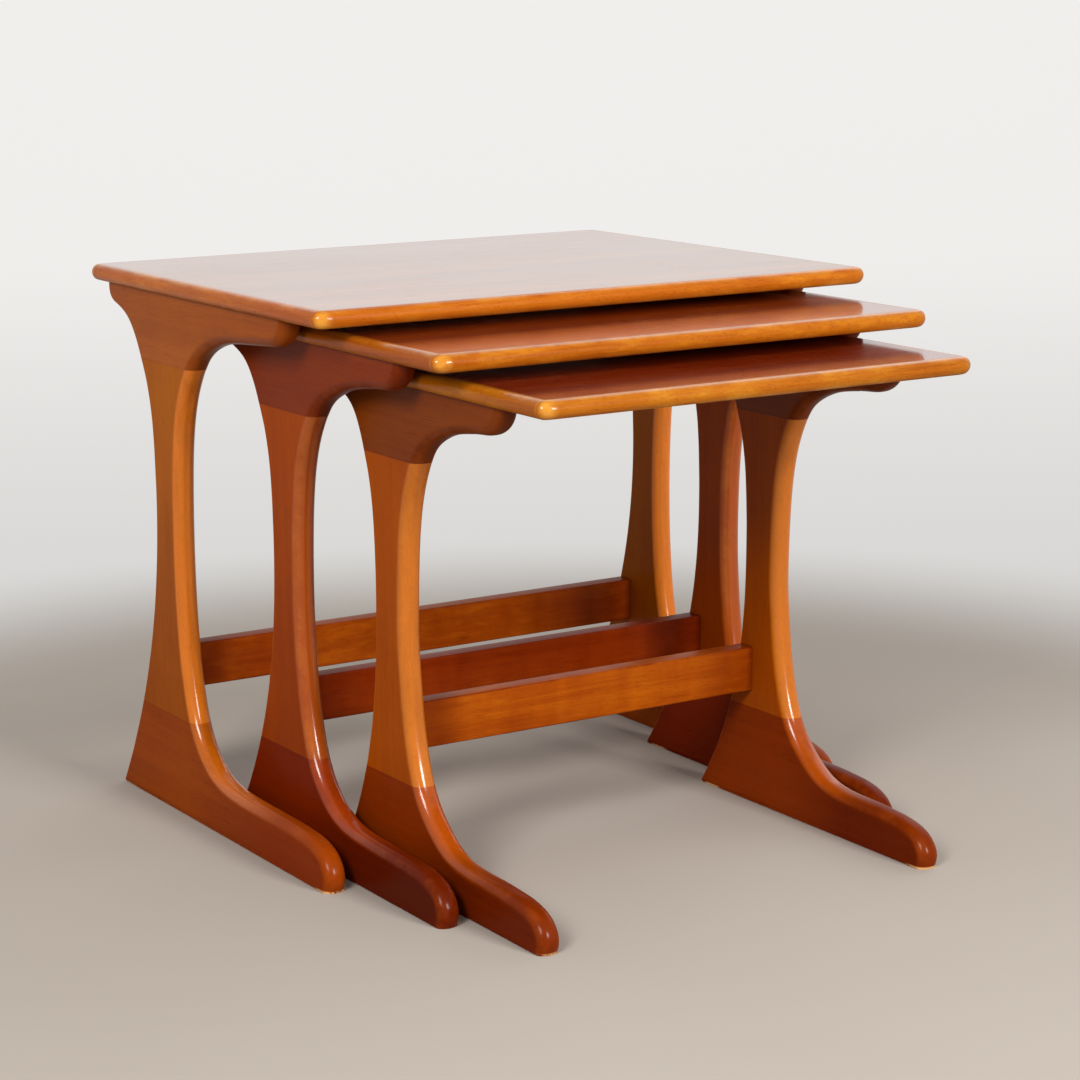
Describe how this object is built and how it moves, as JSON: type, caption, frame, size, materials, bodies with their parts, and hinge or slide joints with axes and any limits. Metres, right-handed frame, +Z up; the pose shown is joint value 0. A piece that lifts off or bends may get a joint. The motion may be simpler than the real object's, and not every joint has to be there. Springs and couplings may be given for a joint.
{
  "type": "nesting tables",
  "caption": "Set of side tables in graded sizes on shaped wooden side frames tied by a low rail; each smaller table slides in under the next larger one.",
  "frame": {"origin": "on the floor, at the middle of the box round the whole fanned set", "axes": "+Z up; -Y is the front, the way the smaller tables slide out; +X to the right seen from the front"},
  "size_m": [0.557, 0.6674, 0.49],
  "materials": {
    "top_veneer": "reddish brown veneer, satin gloss lacquer",
    "lipping_wood": "solid honey coloured edge, satin gloss lacquer",
    "upright_wood": "honey brown, grain upright, satin gloss lacquer",
    "dark_frame_wood": "red brown, grain level, satin gloss lacquer",
    "rail_wood": "honey to red brown, satin gloss lacquer",
    "dowel_wood": "raw pale wood",
    "screw_steel": "dull steel"
  },
  "bodies": {
    "large_table": {"large_top_panel": "top_veneer", "large_lipping_front": "lipping_wood", "large_lipping_back": "lipping_wood", "large_lipping_left": "lipping_wood", "large_lipping_right": "lipping_wood", "large_bracket_left": "dark_frame_wood", "large_upright_left": "upright_wood", "large_foot_left": "dark_frame_wood", "large_bracket_right": "dark_frame_wood", "large_upright_right": "upright_wood", "large_foot_right": "dark_frame_wood", "large_rail": "rail_wood", "large_dowel_left_low": "dowel_wood", "large_dowel_left_high": "dowel_wood", "large_screw_left_front": "screw_steel", "large_screw_left_back": "screw_steel", "large_dowel_right_low": "dowel_wood", "large_dowel_right_high": "dowel_wood", "large_screw_right_front": "screw_steel", "large_screw_right_back": "screw_steel"},
    "middle_table": {"middle_top_panel": "top_veneer", "middle_lipping_front": "lipping_wood", "middle_lipping_back": "lipping_wood", "middle_lipping_left": "lipping_wood", "middle_lipping_right": "lipping_wood", "middle_bracket_left": "dark_frame_wood", "middle_upright_left": "upright_wood", "middle_foot_left": "dark_frame_wood", "middle_bracket_right": "dark_frame_wood", "middle_upright_right": "upright_wood", "middle_foot_right": "dark_frame_wood", "middle_rail": "rail_wood", "middle_dowel_left_low": "dowel_wood", "middle_dowel_left_high": "dowel_wood", "middle_screw_left_front": "screw_steel", "middle_screw_left_back": "screw_steel", "middle_dowel_right_low": "dowel_wood", "middle_dowel_right_high": "dowel_wood", "middle_screw_right_front": "screw_steel", "middle_screw_right_back": "screw_steel"},
    "small_table": {"small_top_panel": "top_veneer", "small_lipping_front": "lipping_wood", "small_lipping_back": "lipping_wood", "small_lipping_left": "lipping_wood", "small_lipping_right": "lipping_wood", "small_bracket_left": "dark_frame_wood", "small_upright_left": "upright_wood", "small_foot_left": "dark_frame_wood", "small_bracket_right": "dark_frame_wood", "small_upright_right": "upright_wood", "small_foot_right": "dark_frame_wood", "small_rail": "rail_wood", "small_dowel_left_low": "dowel_wood", "small_dowel_left_high": "dowel_wood", "small_screw_left_front": "screw_steel", "small_screw_left_back": "screw_steel", "small_dowel_right_low": "dowel_wood", "small_dowel_right_high": "dowel_wood", "small_screw_right_front": "screw_steel", "small_screw_right_back": "screw_steel"}
  },
  "joints": [
    {"name": "middle_slide", "type": "slide", "parent": "large_table", "child": "middle_table", "axis": [0, -1, 0], "range_m": [-0.133, 0.33]},
    {"name": "small_slide", "type": "slide", "parent": "middle_table", "child": "small_table", "axis": [0, -1, 0], "range_m": [-0.094, 0.31]}
  ]
}
